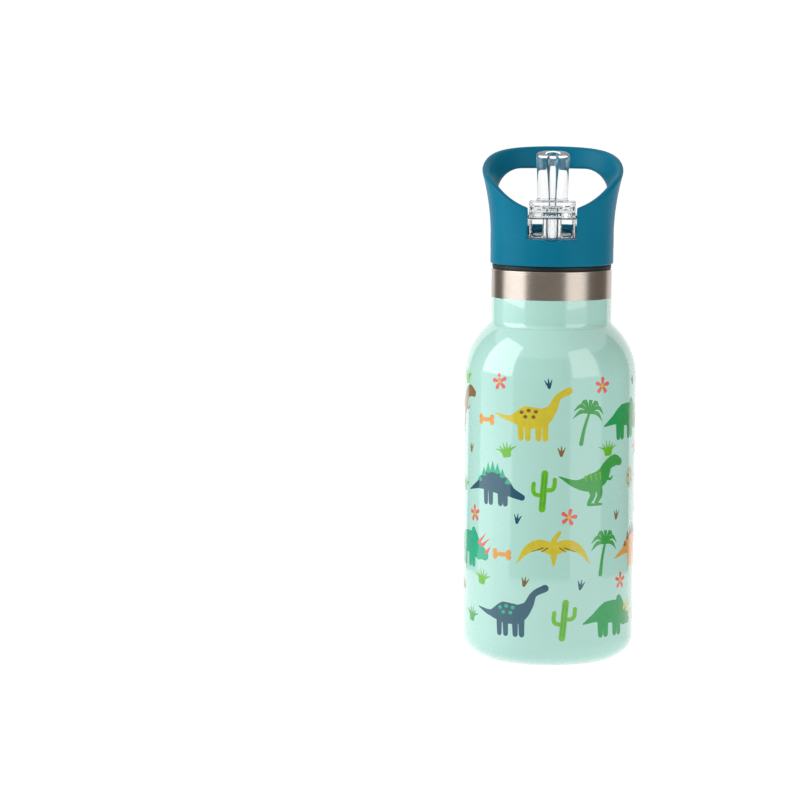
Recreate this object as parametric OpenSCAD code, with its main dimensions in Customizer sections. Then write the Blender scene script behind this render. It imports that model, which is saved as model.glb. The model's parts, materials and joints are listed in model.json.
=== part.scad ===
// Kids water bottle, 350 ml: a double-wall steel bottle with a screw-in straw lid.
// Millimetres. The origin is the centre of the base, +Z is up, and the drinker faces the -Y side.

/* [Bottle] */
// Outside diameter of the painted body
body_d = 70; // [69:0.5:72]
// Height of the bottle to its steel mouth
bottle_h = 158.9; // [157:0.1:161]
// Outside diameter of the painted neck
neck_d = 49.2; // [48.6:0.2:49.6]
// Height where the straight wall ends and the shoulder begins
shoulder_z = 115; // [113:1:117]
// Radius of the shoulder
shoulder_r = 28; // [26:0.5:30]
// Radius of the corner at the base
corner_r = 10; // [9:0.5:10.5]
// Height where the paint stops and the neck is bare steel
paint_z = 147.4; // [144:0.1:151]

/* [Walls] */
// Thickness of the powder coat
coat_t = 0.15; // [0.1:0.05:0.2]
// Thickness of the outer steel wall
shell_t = 0.45; // [0.4:0.05:0.6]
// Thickness of the inner steel wall
liner_t = 0.4; // [0.3:0.05:0.5]
// Vacuum gap between the two walls
vacuum_gap = 3.5; // [3:0.25:4]
// Thickness of the pressed discs under the bottle
disc_t = 0.5; // [0.4:0.05:0.6]

/* [Thread] */
// Rise of the thread in one turn
pitch = 4; // [3.6:0.1:4.4]
// Turns on the bottle and on the plug
turns = 1.75; // [1.25:0.25:1.75]

/* [Lid] */
// Outside diameter of the lid at its lower edge
lid_d = 50; // [49.6:0.2:51]
// Wall thickness of the lid
lid_t = 3; // [2.6:0.2:3.2]
// Height of the lid from its lower edge to the top of its carrying bar
lid_h = 46.8; // [46:0.1:49]
// Radius of the arc that flares the lid's side
flare_r = 98; // [90:2:120]
// Height of the carrying bar at the back
bar_h = 9.1; // [8.6:0.1:11]
// Slope of the rim beside the spout
front_slope = 38; // [36:1:42]
// Slope of the rim along the lid's sides
side_slope = 20; // [18:1:24]
// Slope of the rim along the carrying bar
back_slope = 7; // [5:1:9]

/* [Spout] */
// Width between the cheeks that hold the spout
slot_w = 19.6; // [19.4:0.2:21]
// Radius of the spout's barrel
barrel_r = 8; // [7.6:0.1:8.2]
// Width of the mouthpiece
mouth_w = 13.6; // [12.6:0.2:14.4]
// Depth of the mouthpiece, front to back
mouth_t = 9.6; // [9:0.2:10]
// Diameter of the drinking passage
passage_d = 6; // [5:0.5:6]
// Diameter of the spout's pivots
pivot_d = 4; // [3.5:0.5:4]
// Outside diameter of the straw
straw_d = 8; // [7.6:0.1:8.2]

/* [Hidden] */
$fn = 96;

MINT = [0.70, 0.89, 0.84];
STEEL = [0.62, 0.59, 0.56];
TEAL = [0.0, 0.42, 0.54];
COPPER = [0.72, 0.45, 0.30];
CLEAR = [0.86, 0.90, 0.92, 0.4];
SILICONE = [0.85, 0.87, 0.87];
DARK = [0.05, 0.07, 0.09];

arc_n = 12;              // straight pieces in each arc of a profile
far = 100;               // reach of a cutter past whatever it cuts
body_r = body_d / 2;
neck_r = neck_d / 2;
neck_fillet = 3;         // hollow fillet where the shoulder meets the neck
lip_h = 1;               // height of the rolled steel mouth

// Inner vessel
liner_r = body_r - coat_t - shell_t - vacuum_gap - liner_t;
liner_corner = 8;
liner_neck_r = 21.9;
liner_floor = 8.6;

// Plug and thread. Both ridges stand thread_h out of their walls, which are wall_gap apart.
thread_h = 1.3;
thread_root_w = 1.9;
thread_crest_w = 1;
thread_steps = 40;       // straight pieces in one turn of the thread
thread_z = 147.1;
plug_r = liner_neck_r - 1.7;
plug_t = 2;
plug_bottom = 145.7;

// Heights in the lid
lid_z = bottle_h + 2;
lid_r = lid_d / 2;
lid_top = lid_z + lid_h;
flare_z = lid_z + 10.6;
deck_top = lid_z + 10.9;
deck_t = 3;
plate_top = lid_z + 3.6;
plate_t = 1.8;
flange_z = lid_z + 0.8;
pivot_z = lid_z + 17.6;
cheek_t = 3;
cheek_top = pivot_z + 4.2;
cheek_back = 7.5;
rim_front_y = -10.3;     // where the rim's slope eases
rim_back_y = 21;         // where the rim eases into the carrying bar
rim_front_r = 25;
rim_back_r = 12;
window_w = 45;
window_corner = 9.5;
window_sill = deck_top + 3.5;

// Spout, seal and straw
barrel_w = slot_w - 0.8;
block_t = 12.6;          // depth of the block above the barrel, front to back
block_top = pivot_z + 7.9;
tip_z = lid_z + 44.7;    // height of the mouthpiece at its middle
tip_slope = 13.7;
well_r = 7.5;
seal_gap = 0.1;
straw_wall = 0.8;
straw_bottom = liner_floor + 4.4;
straw_top = plate_top - plate_t - 0.2;
socket_wall = 1.4;
socket_h = 13;
vent_y = 13;

function arc(c, r, a0, a1, n = arc_n) =
    [for (i = [0:n]) c + r * [cos(a0 + (a1 - a0) * i / n), sin(a0 + (a1 - a0) * i / n)]];

function reversed(p) = [for (i = [len(p) - 1:-1:0]) p[i]];

// Half outline of a vessel as [r, z], from its floor to the bottom of its neck. Every vessel shares
// the shoulder's centre, so walls made at two distances are parallel.
function vessel_path(wall, corner, neck, fillet, z_floor, start = -90) =
    let (
        c = [body_r - shoulder_r, shoulder_z],
        r = wall - c[0],
        x = neck + fillet - c[0],
        lift = sqrt(pow(r + fillet, 2) - x * x),
        meet = atan2(lift, x)
    )
    concat(
        arc([wall - corner, z_floor + corner], corner, start, 0),
        arc(c, r, 0, meet),
        arc([neck + fillet, c[1] + lift], fillet, 180 + meet, 180)
    );

// The bottle's outside, moved inward by d
function outside_path(d, start = -90) =
    vessel_path(body_r - d, corner_r - d, neck_r - d, neck_fillet + d, d, start);

// The inner vessel's inside, moved outward by d
function inside_path(d) =
    vessel_path(liner_r + d, liner_corner + d, liner_neck_r + d, neck_fillet - d, liner_floor - d);

// A helical ridge from radius r_root to r_crest, which fades in and out over an eighth of a turn
module thread(r_root, r_crest, z0) {
    n = round(thread_steps * turns);
    fade = round(thread_steps / 8);
    function ring(i) =
        let (
            a = 360 * turns * i / n,
            z = z0 + pitch * turns * i / n,
            share = min(1, (i + 0.3) / fade, (n - i + 0.3) / fade),
            crest = r_root + (r_crest - r_root) * share,
            root = thread_root_w / 2,
            top = thread_crest_w / 2
        )
        [for (p = [[r_root, -root], [crest, -top], [crest, top], [r_root, root]])
            [p[0] * cos(a), p[0] * sin(a), z + p[1]]];
    out = r_crest > r_root ? 1 : 0;
    sides = [for (i = [0:n - 1]) for (k = [0:3])
        let (a = 4 * i + k, b = 4 * i + (k + 1) % 4)
        each out == 1 ? [[a, b, b + 4], [a, b + 4, a + 4]] : [[a, b + 4, b], [a, a + 4, b + 4]]];
    ends = out == 1 ? [[0, 3, 2, 1], [4 * n, 4 * n + 1, 4 * n + 2, 4 * n + 3]]
                    : [[0, 1, 2, 3], [4 * n, 4 * n + 3, 4 * n + 2, 4 * n + 1]];
    polyhedron([for (i = [0:n]) each ring(i)], concat(sides, ends), convexity = 6);
}

module ring(r_in, r_out, z0, z1) {
    rotate_extrude()
        translate([r_in, z0])
            square([r_out - r_in, z1 - z0]);
}

module post(r, z0, z1) {
    translate([0, 0, z0])
        cylinder(r = r, h = z1 - z0);
}

// A cylinder along X through the spout's pivot line
module pivot_bar(r, w) {
    translate([0, 0, pivot_z])
        rotate([0, 90, 0])
            cylinder(r = r, h = w, center = true);
}

// ---- bottle ----

module outer_shell() {
    top = bottle_h - lip_h;
    outside = outside_path(coat_t);
    inside = outside_path(coat_t + shell_t);
    color(STEEL)
        rotate_extrude()
            polygon(concat(
                outside,
                [[neck_r - coat_t, top], [neck_r - coat_t - shell_t, top]],
                reversed(inside)
            ));
}

module powder_coat() {
    coat_start = -72;    // the coat stops this far round the corner, clear of the table
    color(MINT)
        rotate_extrude()
            polygon(concat(
                outside_path(0, coat_start),
                [[neck_r, paint_z], [neck_r - coat_t, paint_z]],
                reversed(outside_path(coat_t, coat_start))
            ));
}

module inner_liner() {
    lip_z = bottle_h - lip_h;
    lip_out = neck_r - coat_t;
    lip_round = 0.4;
    color(STEEL)
        union() {
            rotate_extrude()
                polygon(concat(
                    inside_path(liner_t),
                    [[liner_neck_r + liner_t, lip_z], [lip_out, lip_z]],
                    arc([lip_out - lip_round, bottle_h - lip_round], lip_round, 0, 90, 4),
                    arc([liner_neck_r + lip_round, bottle_h - lip_round], lip_round, 90, 180, 4),
                    reversed(inside_path(0))
                ));
            thread(liner_neck_r + 0.2, liner_neck_r - thread_h, thread_z + pitch / 2);
        }
}

// Flat disc welded into the rolled-in foot of the inner vessel
module inner_bottom() {
    color(STEEL)
        post(liner_r - liner_corner, liner_floor - liner_t, liner_floor);
}

module copper_foil() {
    foil_t = 0.1;
    r = liner_r + liner_t + 0.1;
    color(COPPER)
        ring(r, r + foil_t, liner_floor + liner_corner, shoulder_z - 3);
}

// Welded disc that closes the vacuum space. Its dimple holds the port that the air is drawn through.
module outer_bottom() {
    z = 3.2;
    r = body_r - corner_r
        + sqrt(pow(corner_r - coat_t - shell_t, 2) - pow(corner_r - z, 2)) - 0.1;
    dimple_r = 5;
    dimple_h = 1.2;
    port_r = 0.8;
    color(STEEL)
        rotate_extrude()
            polygon([
                [port_r, z + dimple_h], [dimple_r - 1, z + dimple_h], [dimple_r, z], [r, z],
                [r, z + disc_t], [dimple_r + 0.2, z + disc_t],
                [dimple_r - 0.8, z + dimple_h + disc_t], [port_r, z + dimple_h + disc_t]
            ]);
}

module vacuum_seal() {
    z = 4.4;
    color(DARK)
        union() {
            post(0.75, z - 0.3, z + disc_t);
            post(2.2, z - 0.9, z - 0.05);
        }
}

module getter() {
    color(DARK)
        translate([14, 0, 0])
            post(4, liner_floor - liner_t - 2.4, liner_floor - liner_t - 0.4);
}

// Sprung strap, welded under the inner vessel, that carries the getter
module getter_clip() {
    w = 3;
    strap_t = 0.3;
    low = liner_floor - liner_t - 2.8;
    top = liner_floor - liner_t - 0.05;
    color(STEEL)
        union() {
            translate([8.5, -w / 2, low])
                cube([11, w, strap_t]);
            for (x = [8.5, 19.2])
                translate([x, -w / 2, low])
                    cube([strap_t, w, top - low]);
            for (x = [6.5, 19.2])
                translate([x, -w / 2, top - strap_t])
                    cube([2.3, w, strap_t]);
        }
}

// Visible disc under the bottle. It stands on a flat ring and is hollow in the middle.
module base_cover() {
    edge = body_r - corner_r - 0.1;
    stand_out = edge - 0.9;
    stand_in = edge - 4.9;
    hollow_r = stand_in - 1.5;
    hollow_z = 1.8;
    color(STEEL)
        rotate_extrude()
            polygon([
                [0, hollow_z], [hollow_r, hollow_z], [stand_in, 0], [stand_out, 0],
                [edge, coat_t], [edge, coat_t + disc_t], [stand_out, disc_t],
                [stand_in + 0.3, disc_t], [hollow_r + 0.3, hollow_z + disc_t],
                [0, hollow_z + disc_t]
            ]);
}

// ---- lid ----

// Flat ring between the steel mouth and the lid, with a collar that goes up into the lid
module lid_gasket() {
    gap = 0.1;
    r_in = plug_r + 0.15;
    color(DARK)
        rotate_extrude()
            polygon([
                [r_in, bottle_h + gap], [neck_r - 0.7, bottle_h + gap],
                [neck_r - 0.4, bottle_h + 0.6], [neck_r - 0.4, lid_z - 0.4],
                [neck_r - 0.6, lid_z - gap], [lid_r - lid_t - gap, lid_z - gap],
                [lid_r - lid_t - gap, flange_z - gap], [r_in, flange_z - gap]
            ]);
}

// The lid's wall flares along an arc. This is that arc at distance d inside the outer face.
function flare_path(d, z_from, z_to) =
    let (c = [lid_r + flare_r, flare_z], r = flare_r + d)
    [for (i = [0:arc_n])
        let (z = z_from + (z_to - z_from) * i / arc_n)
        [c[0] - sqrt(r * r - pow(z - c[1], 2)), z]];

// Arc of radius r that eases a line of slope a0 into one of slope a1, where they meet at p
function bend(p, a0, a1, r) =
    let (mid = (a0 + a1) / 2 - 90)
    arc(p + r / cos((a0 - a1) / 2) * [cos(mid), sin(mid)], r, a0 + 90, a1 + 90, 8);

// The rim in side view, as [y, z]: steep at the front, easing along the sides, nearly level at the back
function rim_path() =
    let (
        back_edge = lid_r + flare_r - sqrt(pow(flare_r, 2) - pow(lid_top - flare_z, 2)),
        back = [rim_back_y, lid_top - (back_edge - rim_back_y) * tan(back_slope)],
        front = [rim_front_y, back[1] - (rim_back_y - rim_front_y) * tan(side_slope)]
    )
    concat(
        [front - far * [cos(front_slope), sin(front_slope)]],
        bend(front, front_slope, side_slope, rim_front_r),
        bend(back, side_slope, back_slope, rim_back_r),
        [back + far * [cos(back_slope), sin(back_slope)]]
    );

module above_rim() {
    rotate([90, 0, 90])
        linear_extrude(height = far, center = true)
            polygon(concat(rim_path(), [[far, lid_top + far], [-far, lid_top + far]]));
}

// Low arched wall behind the spout, which stops it from tipping back
module rear_stop() {
    stop_y = barrel_r + 0.8;
    stop_t = 1.5;
    stop_top = deck_top + 4;
    crown_r = 14;
    intersection() {
        translate([-slot_w / 2 - 1, stop_y, deck_top - 1])
            cube([slot_w + 2, stop_t, stop_top - deck_top + 1]);
        translate([0, stop_y - 1, stop_top - crown_r])
            rotate([-90, 0, 0])
                cylinder(r = crown_r, h = stop_t + 2);
    }
}

// Opening under the carrying bar, as [x, z]
module window_outline() {
    side = window_w / 2;
    top = lid_top - bar_h;
    sill_r = 2;
    polygon(concat(
        arc([side - sill_r, window_sill + sill_r], sill_r, -90, 0, 4),
        arc([side - window_corner, top - window_corner], window_corner, 0, 90, 8),
        arc([window_corner - side, top - window_corner], window_corner, 90, 180, 8),
        arc([sill_r - side, window_sill + sill_r], sill_r, 180, 270, 4)
    ));
}

module lid_wall() {
    rotate_extrude()
        polygon(concat(
            [[lid_r - lid_t, lid_z], [lid_r - 0.4, lid_z], [lid_r, lid_z + 0.4], [lid_r, flare_z]],
            flare_path(0, flare_z, lid_top + 3),
            reversed(flare_path(lid_t, deck_top - deck_t, lid_top + 3))
        ));
}

// Two walls beside the slot that hold the spout's pivots and run forward into the lid's front
module cheeks() {
    reach = lid_r - lid_t / 2;
    for (side = [-1, 1])
        translate([side * (slot_w + cheek_t) / 2, 0, 0])
            rotate([90, 0, 90])
                linear_extrude(height = cheek_t, center = true)
                    union() {
                        translate([0, pivot_z])
                            circle(r = cheek_top - pivot_z);
                        translate([-20, deck_top - 1])
                            square([20 + cheek_back, 2]);
                        translate([-20, deck_top])
                            square([20, cheek_top - deck_top]);
                        translate([0, deck_top])
                            square([5.5, pivot_z - deck_top]);
                    }
}

module lid_shell() {
    well_wall = 1.5;
    trough_r = 7;
    trough_depth = 1.2;
    pivot_play = 0.06;
    color(TEAL)
        difference() {
            union() {
                lid_wall();
                post(lid_r - lid_t + 0.5, deck_top - deck_t, deck_top);
                post(well_r + well_wall, plate_top, deck_top - 1);
                intersection() {
                    cheeks();
                    post(lid_r - 1, deck_top - 1, lid_top);
                }
                rear_stop();
            }
            above_rim();
            translate([0, far / 2, 0])
                rotate([90, 0, 0])
                    linear_extrude(height = far / 2)
                        window_outline();
            // slot that the mouthpiece folds down into, with a trough for it in the front edge
            translate([-slot_w / 2, -far / 2, deck_top])
                cube([slot_w, far / 2, far]);
            translate([0, -lid_r + lid_t + 1, deck_top + trough_r - trough_depth])
                rotate([90, 0, 0])
                    cylinder(r = trough_r, h = far / 2);
            pivot_bar(barrel_r + 0.3, slot_w);
            pivot_bar(pivot_d / 2 + pivot_play, slot_w + 2 * cheek_t + 2);
            post(well_r, plate_top - 1, deck_top + 1);
            translate([0, vent_y, 0])
                post(1, deck_top - deck_t - 1, deck_top + 1);
        }
}

module lid_plug() {
    flange_r = lid_r - lid_t - 0.1;
    socket_r = straw_d / 2 + 0.05;
    plate_z = plate_top - plate_t;
    vent_hole_r = 1.55;
    color(TEAL)
        difference() {
            union() {
                ring(plug_r - plug_t, plug_r, plug_bottom, plate_top);
                ring(plug_r - plug_t, flange_r, flange_z, plate_top);
                post(plug_r - plug_t + 0.5, plate_z, plate_top);
                post(socket_r + socket_wall, plate_z - socket_h, plate_top);
                thread(plug_r - 0.2, plug_r + thread_h, thread_z);
            }
            post(passage_d / 2, plug_bottom, plate_top + 1);
            post(socket_r, plug_bottom - 1, plate_z);
            translate([0, vent_y, 0])
                post(vent_hole_r, plate_z - 1, plate_top + 1);
        }
}

// Silicone plug between the lid's plate and the spout's barrel. Its top is a saddle for the barrel.
module spout_seal() {
    color(SILICONE)
        difference() {
            post(well_r - 0.1, plate_top + 0.05, deck_top - 0.3);
            post(passage_d / 2, plate_top - 1, deck_top + 1);
            pivot_bar(barrel_r + seal_gap, far);
        }
}

// Umbrella valve that lets air into the bottle as it empties
module vent_valve() {
    plate_z = plate_top - plate_t;
    color(SILICONE)
        translate([0, vent_y, 0])
            union() {
                post(1.4, plate_z - 0.5, plate_top + 1);
                post(2.1, plate_top + 0.1, plate_top + 1.1);
                post(3.2, plate_z - 0.8, plate_z - 0.1);
            }
}

// ---- straw and spout ----

module straw() {
    cut_slope = 20;
    color(CLEAR)
        difference() {
            ring(straw_d / 2 - straw_wall, straw_d / 2, straw_bottom, straw_top);
            translate([0, 0, straw_bottom])
                rotate([cut_slope, 0, 0])
                    translate([0, 0, -10])
                        cube([20, 20, 20], center = true);
        }
}

module spout() {
    side = (mouth_w - mouth_t) / 2;
    pivot_end = slot_w / 2 + cheek_t - 0.4;
    color(CLEAR)
        difference() {
            union() {
                pivot_bar(barrel_r, barrel_w);
                pivot_bar(pivot_d / 2, 2 * pivot_end);
                translate([-barrel_w / 2, -block_t / 2, pivot_z])
                    cube([barrel_w, block_t, block_top - pivot_z]);
                for (x = [-side, side])
                    translate([x, 0, 0])
                        post(mouth_t / 2, pivot_z, tip_z + 3);
                translate([-side, -mouth_t / 2, pivot_z])
                    cube([2 * side, mouth_t, tip_z + 3 - pivot_z]);
            }
            translate([0, 0, tip_z])
                rotate([tip_slope, 0, 0])
                    translate([0, 0, 15])
                        cube([30, 40, 30], center = true);
            post(passage_d / 2, pivot_z - barrel_r - 1, lid_top + 10);
        }
}

outer_shell();
powder_coat();
inner_liner();
inner_bottom();
copper_foil();
outer_bottom();
vacuum_seal();
getter();
getter_clip();
base_cover();
lid_gasket();
lid_shell();
lid_plug();
spout_seal();
vent_valve();
straw();
spout();
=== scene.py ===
import json
import math
import random

import bmesh
import bpy
import numpy as np
from mathutils import Matrix, Vector


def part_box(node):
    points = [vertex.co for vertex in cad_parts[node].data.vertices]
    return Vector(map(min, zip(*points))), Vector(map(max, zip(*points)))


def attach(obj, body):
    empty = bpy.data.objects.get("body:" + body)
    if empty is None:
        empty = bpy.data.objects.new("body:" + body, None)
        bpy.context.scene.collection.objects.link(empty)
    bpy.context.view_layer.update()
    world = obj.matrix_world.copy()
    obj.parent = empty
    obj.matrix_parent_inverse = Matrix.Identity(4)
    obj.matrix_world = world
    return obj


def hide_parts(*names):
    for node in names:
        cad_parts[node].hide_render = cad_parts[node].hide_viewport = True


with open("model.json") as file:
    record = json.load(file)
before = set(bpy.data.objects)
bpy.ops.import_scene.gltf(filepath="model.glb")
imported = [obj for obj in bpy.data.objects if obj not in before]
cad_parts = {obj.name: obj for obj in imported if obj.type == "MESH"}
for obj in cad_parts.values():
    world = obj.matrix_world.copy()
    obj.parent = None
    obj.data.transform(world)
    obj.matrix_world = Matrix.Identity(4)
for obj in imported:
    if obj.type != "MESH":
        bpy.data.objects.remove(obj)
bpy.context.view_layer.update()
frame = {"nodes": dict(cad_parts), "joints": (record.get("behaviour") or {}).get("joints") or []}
nodes = frame["nodes"]
joints = {j["name"]: j for j in frame["joints"]}

MM = 0.001

# ---------------------------------------------------------------- sizes and places in mm


def box_mm(node):
    low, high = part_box(node)
    return np.array(low) / MM, np.array(high) / MM


coat_high = box_mm("powder_coat")[1]
shell_high = box_mm("outer_shell")[1]
cover_high = box_mm("base_cover")[1]
gasket_low, gasket_high = box_mm("lid_gasket")
lid_low, lid_high = box_mm("lid_shell")
spout_low, spout_high = box_mm("spout")
straw_low, straw_high = box_mm("straw")

# from the frame
BODY_R = coat_high[0]
COAT_T = BODY_R - shell_high[0]
PAINT_Z = coat_high[2]
LID_Z = lid_low[2]
LID_TOP = lid_high[2]
PIVOT_Z = joints["spout_flip"]["pos_m"][2] / MM
BARREL_R = -spout_low[1]

# as in the part's source
NECK_R = 24.6
SHOULDER_R = 28.0
SHOULDER_Z = 115.0
CORNER_R = 10.0
NECK_FILLET = 3.0
GASKET_BORE_R = 20.35
LID_R = 25.0
LID_T = 3.0
FLARE_R = 98.0
FLARE_Z = LID_Z + 10.6
DECK_TOP = LID_Z + 10.9
DECK_T = 3.0
PLATE_TOP = LID_Z + 3.6
BARREL_W = 18.8
SLOT_W = 19.6
CHEEK_T = 3.0
CHEEK_TOP = PIVOT_Z + 4.2
WELL_R = 7.5
BAR_H = 9.1
BLOCK_T = 12.6
BLOCK_TOP = PIVOT_Z + 7.9

# ---------------------------------------------------------------- node materials


class Nodes:
    """A material's node tree with one Principled shader."""

    def __init__(self, name, **values):
        self.material = bpy.data.materials.new(name)
        self.material.use_nodes = True
        self.tree = self.material.node_tree
        self.tree.nodes.clear()
        self.out = self.tree.nodes.new("ShaderNodeOutputMaterial")
        self.shader = self.tree.nodes.new("ShaderNodeBsdfPrincipled")
        self.link(self.shader.outputs[0], self.out.inputs["Surface"])
        for key, value in values.items():
            self.set(self.shader, key.replace("_", " "), value)

    def link(self, a, b):
        self.tree.links.new(a, b)

    def set(self, node, key, value):
        if isinstance(value, bpy.types.NodeSocket):
            self.link(value, node.inputs[key])
        else:
            node.inputs[key].default_value = value

    def add(self, kind, **inputs):
        node = self.tree.nodes.new(kind)
        for key, value in inputs.items():
            self.set(node, key.replace("_", " "), value)
        return node

    def coords(self, scale=(1, 1, 1)):
        source = self.add("ShaderNodeTexCoord")
        mapping = self.add("ShaderNodeMapping", Vector=source.outputs["Object"])
        mapping.inputs["Scale"].default_value = scale
        return mapping.outputs[0]

    def noise(self, scale, detail=2.0, rough=0.5, vector=None):
        node = self.add("ShaderNodeTexNoise", Scale=scale, Detail=detail, Roughness=rough)
        self.link(vector or self.coords(), node.inputs["Vector"])
        return node.outputs["Fac"]

    def span(self, value, low, high, from_low=0.3, from_high=0.7):
        node = self.add("ShaderNodeMapRange", Value=value)
        node.inputs["From Min"].default_value = from_low
        node.inputs["From Max"].default_value = from_high
        node.inputs["To Min"].default_value = low
        node.inputs["To Max"].default_value = high
        return node.outputs["Result"]

    def mix(self, factor, a, b):
        node = self.add("ShaderNodeMix")
        node.data_type = "RGBA"
        self.link(factor, node.inputs["Factor"])
        for socket, value in ((node.inputs[6], a), (node.inputs[7], b)):
            if isinstance(value, bpy.types.NodeSocket):
                self.link(value, socket)
            else:
                socket.default_value = (*value, 1.0)
        return node.outputs[2]

    def maths(self, kind, a, b=0.0):
        node = self.add("ShaderNodeMath")
        node.operation = kind
        for socket, value in zip(node.inputs, (a, b)):
            if isinstance(value, bpy.types.NodeSocket):
                self.link(value, socket)
            else:
                socket.default_value = value
        return node.outputs[0]

    def bump(self, height, distance, strength=1.0):
        node = self.add("ShaderNodeBump", Height=height, Distance=distance, Strength=strength)
        self.link(node.outputs[0], self.shader.inputs["Normal"])

    def around(self):
        """Coordinates that run round the bottle's axis: (angle, radius, height)."""
        source = self.add("ShaderNodeTexCoord")
        split = self.add("ShaderNodeSeparateXYZ", Vector=source.outputs["Object"])
        angle = self.maths("ARCTAN2", split.outputs["Y"], split.outputs["X"])
        x2 = self.maths("MULTIPLY", split.outputs["X"], split.outputs["X"])
        y2 = self.maths("MULTIPLY", split.outputs["Y"], split.outputs["Y"])
        radius = self.maths("SQRT", self.maths("ADD", x2, y2))
        return angle, radius, split.outputs["Z"]


def srgb(code):
    """Linear colour from a hex code."""
    parts = [int(code[i : i + 2], 16) / 255 for i in (0, 2, 4)]
    return tuple(c / 12.92 if c <= 0.04045 else ((c + 0.055) / 1.055) ** 2.4 for c in parts)


def scaled(color, k):
    return tuple(min(1.0, c * k) for c in color)


def glossy_coat(m, rough):
    """Clear gloss over paint or ink, with a faint orange peel."""
    m.set(m.shader, "Coat Weight", 1.0)
    m.set(m.shader, "Coat Roughness", 0.04)
    m.set(m.shader, "Coat IOR", 1.57)
    m.set(m.shader, "Roughness", m.span(m.noise(900, 2), rough - 0.04, rough + 0.05))
    m.bump(m.noise(300, 2), 0.000002, 0.25)


def paint_material():
    m = Nodes("mint_powder_coat", IOR=1.5, Specular_IOR_Level=0.15)
    mint = srgb("b9eade")
    m.set(m.shader, "Base Color", m.mix(
        m.span(m.noise(26, 3), 0.0, 1.0), scaled(mint, 0.98), scaled(mint, 1.015)))
    glossy_coat(m, 0.26)
    return m.material


def ink_material(name, code):
    m = Nodes(f"ink_{name}", IOR=1.45, Specular_IOR_Level=0.15)
    base = srgb(code)
    m.set(m.shader, "Base Color", m.mix(
        m.span(m.noise(350, 3), 0.0, 1.0), scaled(base, 0.93), scaled(base, 1.05)))
    glossy_coat(m, 0.3)
    return m.material


def brushed_material(name, code, rough=0.33, anisotropic=0.85):
    """Steel with fine lines that run round the bottle."""
    m = Nodes(name, Metallic=1.0, IOR=2.5)
    angle, radius, height = m.around()
    lines = m.add("ShaderNodeCombineXYZ")
    m.link(m.maths("MULTIPLY", angle, 0.006), lines.inputs["X"])
    m.link(m.maths("MULTIPLY", radius, 2.0), lines.inputs["Y"])
    m.link(m.maths("MULTIPLY", height, 2.0), lines.inputs["Z"])
    fine = m.noise(9000, 3, 0.7, lines.outputs[0])
    broad = m.noise(1500, 2, 0.5, lines.outputs[0])
    both = m.maths("ADD", m.maths("MULTIPLY", fine, 0.65), m.maths("MULTIPLY", broad, 0.35))
    base = srgb(code)
    m.set(m.shader, "Base Color", m.mix(
        m.span(both, 0.0, 1.0), scaled(base, 0.86), scaled(base, 1.08)))
    m.set(m.shader, "Roughness", m.span(both, rough - 0.05, rough + 0.08))
    m.set(m.shader, "Anisotropic", anisotropic)
    m.set(m.shader, "Anisotropic Rotation", 0.25)
    tangent = m.add("ShaderNodeTangent")
    tangent.direction_type = "RADIAL"
    tangent.axis = "Z"
    m.link(tangent.outputs[0], m.shader.inputs["Tangent"])
    m.bump(both, 0.000012, 0.5)
    return m.material


def moulded_material(name, code, rough=0.38, grain=0.00002, metallic=0.0):
    """Satin surface with a fine texture, such as moulded plastic has."""
    m = Nodes(name, IOR=1.49, Specular_IOR_Level=0.09, Metallic=metallic)
    base = srgb(code)
    m.set(m.shader, "Base Color", m.mix(
        m.span(m.noise(45, 3), 0.0, 1.0), scaled(base, 0.94), scaled(base, 1.05)))
    m.set(m.shader, "Roughness", m.span(m.noise(2600, 2), rough - 0.05, rough + 0.08))
    texture = m.maths("ADD", m.noise(3200, 2, 0.6), m.maths("MULTIPLY", m.noise(600, 2), 0.5))
    m.bump(texture, grain, 0.5)
    return m.material


def clear_material(name, tint, rough=0.02):
    m = Nodes(name, IOR=1.54)
    m.set(m.shader, "Transmission Weight", 1.0)
    m.set(m.shader, "Base Color", m.mix(
        m.span(m.noise(60, 2), 0.0, 1.0), scaled(tint, 0.985), tint))
    m.set(m.shader, "Roughness", m.span(m.noise(500, 2), rough * 0.5, rough * 1.6))
    m.bump(m.noise(220, 1), 0.00002, 0.25)
    return m.material


def silicone_material(name, code, rough=0.5):
    m = Nodes(name, IOR=1.41)
    base = srgb(code)
    m.set(m.shader, "Base Color", m.mix(
        m.span(m.noise(200, 3), 0.0, 1.0), scaled(base, 0.9), scaled(base, 1.08)))
    m.set(m.shader, "Roughness", m.span(m.noise(1500, 2), rough - 0.08, rough + 0.1))
    m.bump(m.noise(1800, 2), 0.00002, 0.5)
    return m.material


PAINT = paint_material()
STEEL = brushed_material("brushed_steel", "b0a79f")
BASE_STEEL = brushed_material("pressed_steel", "b4b0ac", 0.34, 0.3)
TEAL = moulded_material("teal_plastic", "007695")
PLUG_TEAL = moulded_material("plug_plastic", "00647f", 0.42)
CLEAR = clear_material("clear_plastic", (0.975, 0.985, 0.99))
STRAW_CLEAR = clear_material("straw_plastic", (0.95, 0.97, 0.975), 0.06)
GASKET = silicone_material("dark_silicone", "10161b")
MILKY = silicone_material("milky_silicone", "dfe3e2", 0.45)
COPPER = moulded_material("copper_foil", "c98a63", 0.25, metallic=1.0)
DARK_GLASS = moulded_material("solder_glass", "1b1b20", 0.15)
GETTER = moulded_material("getter_metal", "55565a", 0.6, 0.00004)


def dress(node, material):
    data = nodes[node].data
    data.materials.clear()
    data.materials.append(material)


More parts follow.
